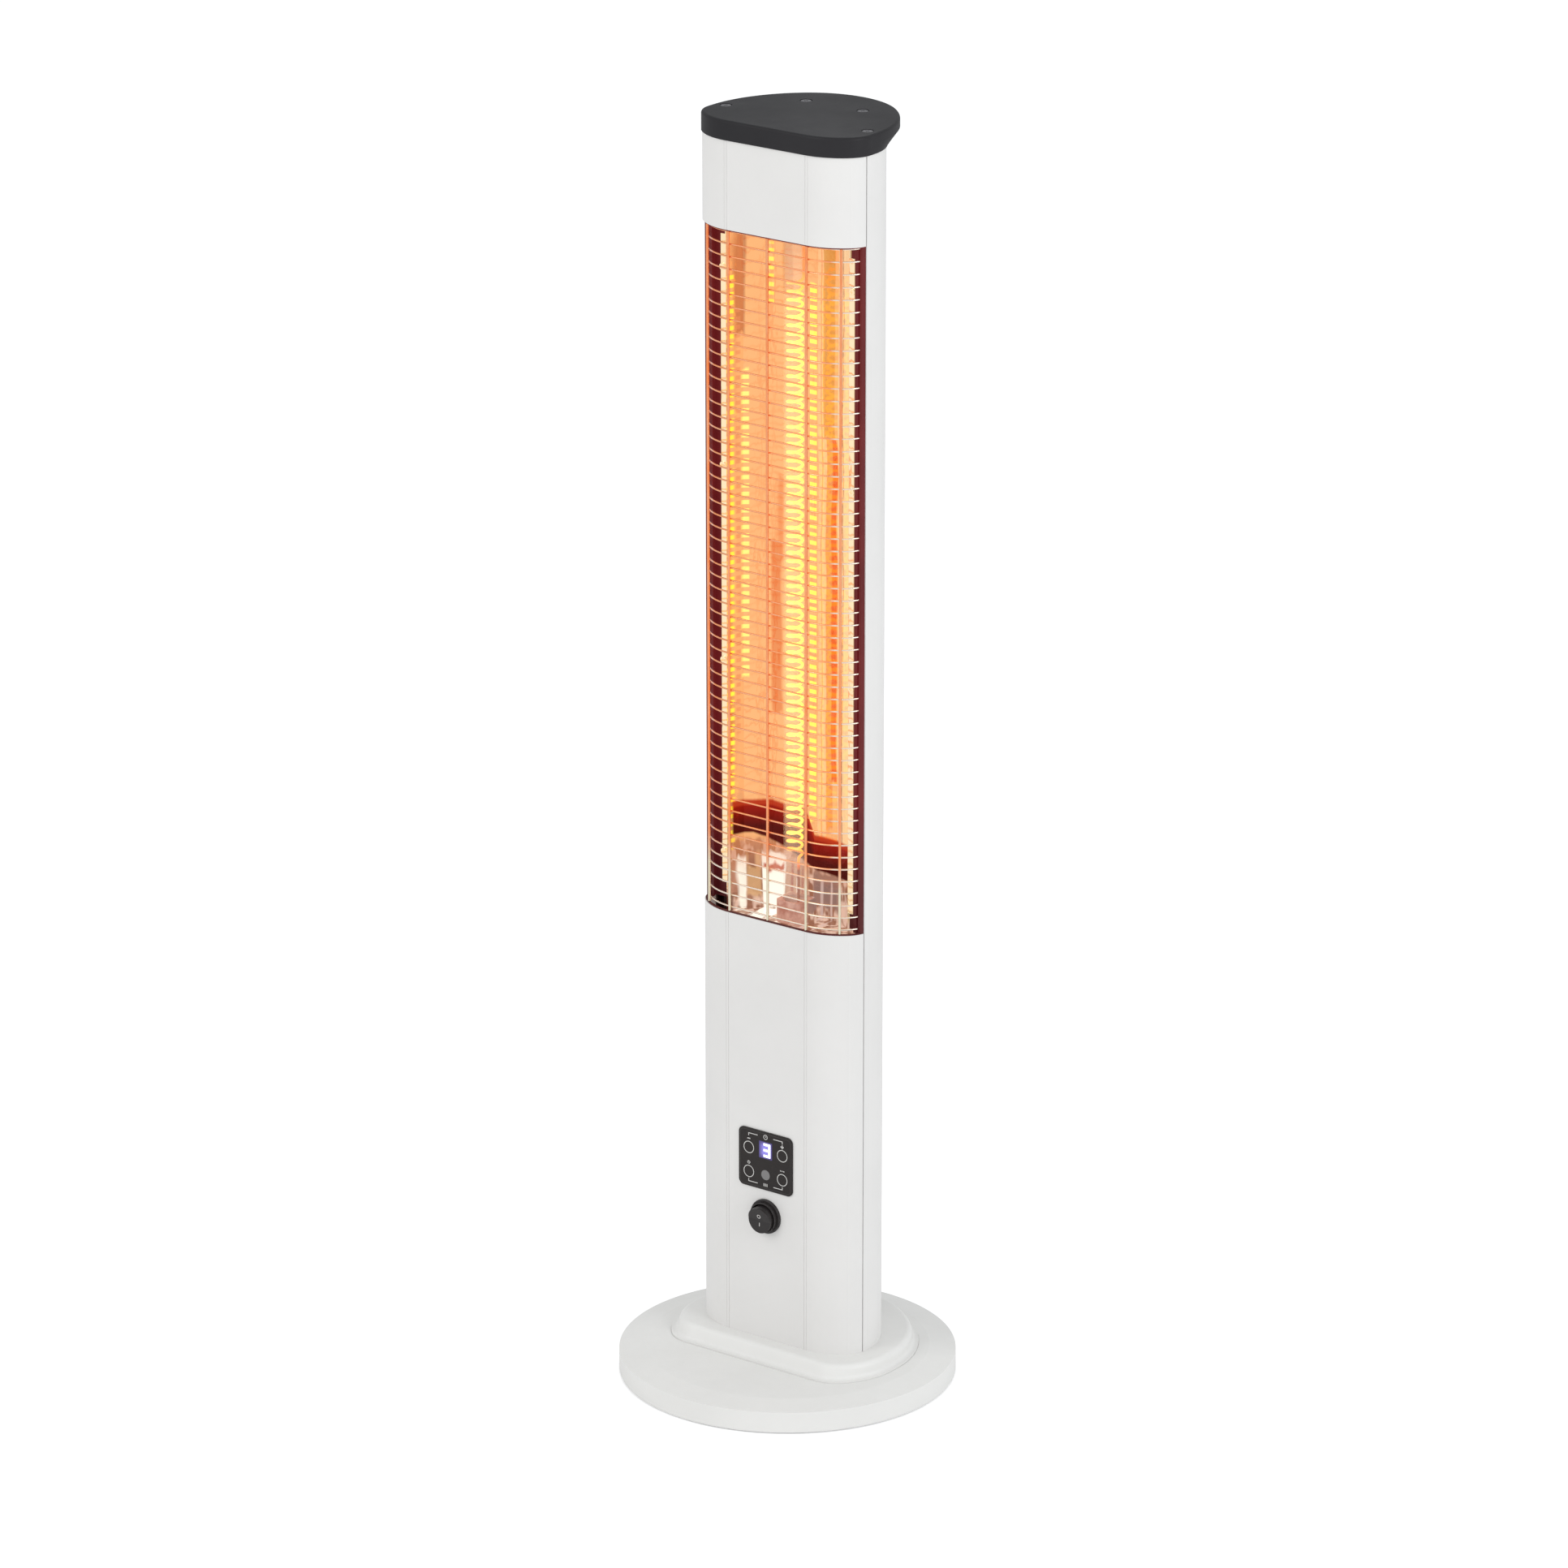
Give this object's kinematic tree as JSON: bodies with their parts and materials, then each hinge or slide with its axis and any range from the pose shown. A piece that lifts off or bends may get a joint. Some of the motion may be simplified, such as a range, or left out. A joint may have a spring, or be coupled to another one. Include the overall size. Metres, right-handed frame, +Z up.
{
  "type": "infrared patio heater tower",
  "caption": "Free-standing infrared patio heater tower on a round base, with a guarded heating lamp, touch keys with a display, and a rocker switch.",
  "frame": {"origin": "centre of the round base on the floor", "axes": "+Z up along the column, -Y out of the lamp window, +X to the right of someone who faces the window"},
  "size_m": [0.28, 0.28, 1.0656],
  "materials": {
    "housing_white": "off-white powder coat, fine satin",
    "base_white": "fine moulded satin",
    "screw_black": "black coated",
    "charcoal_plastic": "fine moulded satin",
    "dark_rail": "black anodised, dark",
    "panel_black": "near-black satin",
    "feet_rubber": "matt",
    "weight_iron": "raw",
    "zinc_sheet": "galvanised",
    "screw_steel": "zinc plated",
    "guard_steel": "bright, slightly satin",
    "mirror_sheet": "polished, slightly wavy",
    "quartz": "clear quartz",
    "glowing_coil": "glowing yellow",
    "ceramic_white": "unglazed ceramic",
    "display_smoked": "smoked, glossy",
    "display_glow": "lit display",
    "board_green": "solder mask",
    "component_black": "moulded",
    "brass_contacts": "plain",
    "lead_sleeve": "glass-fibre sleeving"
  },
  "bodies": {
    "heater": {"base_bottom_plate": "zinc_sheet", "base_screws": "screw_steel", "base_shell": "base_white", "base_weight": "weight_iron", "board_screws": "screw_steel", "board_spacers": "component_black", "cable_gland": "panel_black", "cap_screws": "screw_black", "capacitor": "component_black", "chamber_ceiling": "mirror_sheet", "chamber_floor": "mirror_sheet", "chassis_plate": "zinc_sheet", "collar": "base_white", "column_screws": "screw_steel", "control_board": "board_green", "display_module": "display_glow", "display_window": "display_smoked", "foot_plate": "zinc_sheet", "gland_nut": "panel_black", "grille_uprights": "guard_steel", "grille_wires": "guard_steel", "head_plate": "zinc_sheet", "heating_coil": "glowing_coil", "infrared_window": "display_smoked", "lamp_leads": "lead_sleeve", "left_side_rail": "dark_rail", "lower_front_cover": "housing_white", "lower_lamp_bracket": "zinc_sheet", "lower_lamp_cap": "ceramic_white", "lower_window_trim": "dark_rail", "panel_bezel": "panel_black", "panel_overlay": "panel_black", "power_board": "board_green", "quartz_tube": "quartz", "rear_shell": "housing_white", "receiver_diode": "component_black", "reflector": "mirror_sheet", "reflector_screws": "mirror_sheet", "reflector_sides": "mirror_sheet", "relays": "component_black", "right_side_rail": "dark_rail", "rubber_feet": "feet_rubber", "switch_body": "panel_black", "switch_nut": "panel_black", "switch_tabs": "brass_contacts", "tact_switches": "component_black", "terminal_block": "component_black", "thermal_cutout": "brass_contacts", "tilt_switch": "component_black", "top_cap": "charcoal_plastic", "transformer": "component_black", "upper_front_cover": "housing_white", "upper_lamp_bracket": "zinc_sheet", "upper_lamp_cap": "ceramic_white", "upper_window_trim": "dark_rail"},
    "rocker": {"switch_rocker": "panel_black"},
    "minus_button": {"minus_key": "panel_black"},
    "plus_button": {"plus_key": "panel_black"},
    "off_button": {"off_key": "panel_black"},
    "mode_button": {"mode_key": "panel_black"}
  },
  "joints": [
    {"name": "power_rocker", "type": "hinge", "parent": "heater", "child": "rocker", "pos_m": [0, -0.0313, 0.1445], "axis": [-1, 0, 0], "range_deg": [0, 14]},
    {"name": "minus_press", "type": "slide", "parent": "heater", "child": "minus_button", "axis": [0, 1, 0], "range_m": [0, 0.0005], "stiffness_N_per_m": 500},
    {"name": "plus_press", "type": "slide", "parent": "heater", "child": "plus_button", "axis": [0, 1, 0], "range_m": [0, 0.0005], "stiffness_N_per_m": 500},
    {"name": "off_press", "type": "slide", "parent": "heater", "child": "off_button", "axis": [0, 1, 0], "range_m": [0, 0.0005], "stiffness_N_per_m": 500},
    {"name": "mode_press", "type": "slide", "parent": "heater", "child": "mode_button", "axis": [0, 1, 0], "range_m": [0, 0.0005], "stiffness_N_per_m": 500}
  ]
}
